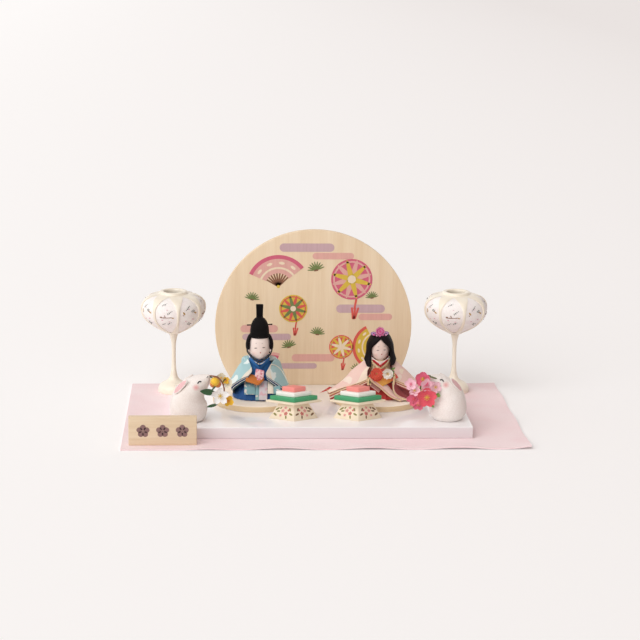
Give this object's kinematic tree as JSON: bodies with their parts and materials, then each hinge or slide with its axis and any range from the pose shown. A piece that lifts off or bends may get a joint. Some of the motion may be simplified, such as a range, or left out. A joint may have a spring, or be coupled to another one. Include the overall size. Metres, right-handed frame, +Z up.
{
  "type": "hina doll display set",
  "caption": "Seated emperor and empress festival dolls on round daises before a round screen, with lanterns, rice-cake stands and cloth rabbits on a felt mat.",
  "frame": {"origin": "centre of the felt mat's underside", "axes": "+X to the right along the mat, +Y to the back, towards the screen, +Z up"},
  "size_m": [0.4, 0.2492, 0.1816],
  "materials": {
    "felt_pink": "pale pink pressed wool felt",
    "white_lacquer": "white high-gloss lacquer",
    "maple": "light maple, clear satin, printed motifs on the front",
    "pale_wood": "pale wood, unpolished",
    "cream_plastic": "cream satin",
    "shade_paper": "white washi with a fine printed branch",
    "navy_brocade": "royal blue and navy woven pattern",
    "blue_cloth": "royal blue ribbed silk",
    "pale_blue_brocade": "pale blue brocade with white patches and layered edges",
    "panel_cloth": "light blue and lavender silk strips",
    "orange_cloth": "orange-gold brocade",
    "pink_pattern": "pink patterned brocade",
    "rose_brocade": "pale rose brocade with gold figures",
    "rose_lining": "pale rose silk",
    "red_cloth": "red silk",
    "collar_cloth": "white, red and gold collar bands",
    "lapel_cloth": "pale pink silk with gold piping",
    "skin": "matt white-pink doll skin with painted features",
    "hair": "brown-black silk floss",
    "gauze": "black crepe",
    "black_cord": "black braided cord",
    "stand_paint": "cream lacquer with small printed sprays",
    "green": "matt green paint",
    "white": "matt white paint",
    "pink": "matt pink paint",
    "rabbit_crepe": "white crepe",
    "posy_white": "white, yellow and orange cloth petals with green leaves",
    "posy_magenta": "magenta and pink cloth petals with green leaves",
    "red_petal": "red cloth petals",
    "white_petal": "white cloth petals",
    "rosette": "magenta cloth rosette with cord loops"
  },
  "bodies": {
    "base": {"felt_mat": "felt_pink", "base_board": "white_lacquer", "screen_dowel_left": "pale_wood", "screen_dowel_right": "pale_wood"},
    "screen": {"round_screen": "maple"},
    "name_plate": {"name_plate": "pale_wood"},
    "emperor_dais": {"emperor_dais": "pale_wood"},
    "emperor": {"emperor_hakama": "navy_brocade", "emperor_under_robe": "blue_cloth", "emperor_outer_robe": "pale_blue_brocade", "emperor_sleeve_left": "pale_blue_brocade", "emperor_sleeve_right": "pale_blue_brocade", "emperor_lap_panels": "panel_cloth", "emperor_cuffs": "orange_cloth", "emperor_neck_peg": "pale_wood"},
    "emperor_head": {"emperor_head": "skin", "emperor_hair": "hair", "emperor_crown": "gauze", "emperor_crown_pin": "gauze", "emperor_chin_cord": "black_cord"},
    "emperor_baton": {"emperor_baton": "pink_pattern"},
    "empress_dais": {"empress_dais": "pale_wood"},
    "empress": {"empress_hakama": "red_cloth", "empress_under_robe": "rose_lining", "empress_outer_robe": "rose_brocade", "empress_sleeve_left": "rose_brocade", "empress_sleeve_right": "rose_brocade", "empress_collar": "collar_cloth", "empress_lapel_left": "lapel_cloth", "empress_lapel_right": "lapel_cloth", "empress_neck_peg": "pale_wood"},
    "empress_head": {"empress_head": "skin", "empress_hair": "hair", "empress_hair_ornament": "rosette"},
    "empress_fan": {"empress_fan": "orange_cloth", "empress_red_flower": "red_petal", "empress_white_flower": "white_petal"},
    "left_lantern_stand": {"left_lantern_stand": "cream_plastic"},
    "left_lantern_globe": {"left_lantern_frame": "cream_plastic", "left_lantern_shade": "shade_paper"},
    "left_cake_stand": {"left_cake_stand": "stand_paint"},
    "left_cakes": {"left_cake_green": "green", "left_cake_white": "white", "left_cake_pink": "pink"},
    "left_rabbit": {"left_rabbit_body": "rabbit_crepe", "left_rabbit_ear_near": "rabbit_crepe", "left_rabbit_ear_far": "rabbit_crepe", "left_rabbit_posy": "posy_white"},
    "right_lantern_stand": {"right_lantern_stand": "cream_plastic"},
    "right_lantern_globe": {"right_lantern_frame": "cream_plastic", "right_lantern_shade": "shade_paper"},
    "right_cake_stand": {"right_cake_stand": "stand_paint"},
    "right_cakes": {"right_cake_green": "green", "right_cake_white": "white", "right_cake_pink": "pink"},
    "right_rabbit": {"right_rabbit_body": "rabbit_crepe", "right_rabbit_ear_near": "rabbit_crepe", "right_rabbit_ear_far": "rabbit_crepe", "right_rabbit_posy": "posy_magenta"}
  },
  "joints": [
    {"name": "screen_pull_off", "type": "slide", "parent": "base", "child": "screen", "axis": [0, 1, 0], "range_m": [0, 0.02]},
    {"name": "name_plate_lift", "type": "slide", "parent": "base", "child": "name_plate", "axis": [0, 0, 1], "range_m": [0, 0.02]},
    {"name": "emperor_dais_lift", "type": "slide", "parent": "base", "child": "emperor_dais", "axis": [0, 0, 1], "range_m": [0, 0.02]},
    {"name": "emperor_lift", "type": "slide", "parent": "emperor_dais", "child": "emperor", "axis": [0, 0, 1], "range_m": [0, 0.02]},
    {"name": "emperor_head_turn", "type": "hinge", "parent": "emperor", "child": "emperor_head", "pos_m": [-0.0635, 0.004, 0.0602], "axis": [0, 0, 1], "range_deg": [-20, 20]},
    {"name": "emperor_baton_lift", "type": "slide", "parent": "emperor", "child": "emperor_baton", "axis": [0, 0, 1], "range_m": [0, 0.015]},
    {"name": "empress_dais_lift", "type": "slide", "parent": "base", "child": "empress_dais", "axis": [0, 0, 1], "range_m": [0, 0.02]},
    {"name": "empress_lift", "type": "slide", "parent": "empress_dais", "child": "empress", "axis": [0, 0, 1], "range_m": [0, 0.02]},
    {"name": "empress_head_turn", "type": "hinge", "parent": "empress", "child": "empress_head", "pos_m": [0.0607, 0.004, 0.0602], "axis": [0, 0, 1], "range_deg": [-8, 8]},
    {"name": "empress_fan_pull_off", "type": "slide", "parent": "empress", "child": "empress_fan", "axis": [0, -1, 0], "range_m": [0, 0.012]},
    {"name": "left_lantern_stand_lift", "type": "slide", "parent": "base", "child": "left_lantern_stand", "axis": [0, 0, 1], "range_m": [0, 0.02]},
    {"name": "left_lantern_globe_lift", "type": "slide", "parent": "left_lantern_stand", "child": "left_lantern_globe", "axis": [0, 0, 1], "range_m": [0, 0.02]},
    {"name": "left_cake_stand_lift", "type": "slide", "parent": "base", "child": "left_cake_stand", "axis": [0, 0, 1], "range_m": [0, 0.02]},
    {"name": "left_cakes_lift", "type": "slide", "parent": "left_cake_stand", "child": "left_cakes", "axis": [0, 0, 1], "range_m": [0, 0.02]},
    {"name": "left_rabbit_lift", "type": "slide", "parent": "base", "child": "left_rabbit", "axis": [0, 0, 1], "range_m": [0, 0.02]},
    {"name": "right_lantern_stand_lift", "type": "slide", "parent": "base", "child": "right_lantern_stand", "axis": [0, 0, 1], "range_m": [0, 0.02]},
    {"name": "right_lantern_globe_lift", "type": "slide", "parent": "right_lantern_stand", "child": "right_lantern_globe", "axis": [0, 0, 1], "range_m": [0, 0.02]},
    {"name": "right_cake_stand_lift", "type": "slide", "parent": "base", "child": "right_cake_stand", "axis": [0, 0, 1], "range_m": [0, 0.02]},
    {"name": "right_cakes_lift", "type": "slide", "parent": "right_cake_stand", "child": "right_cakes", "axis": [0, 0, 1], "range_m": [0, 0.02]},
    {"name": "right_rabbit_lift", "type": "slide", "parent": "base", "child": "right_rabbit", "axis": [0, 0, 1], "range_m": [0, 0.02]}
  ]
}
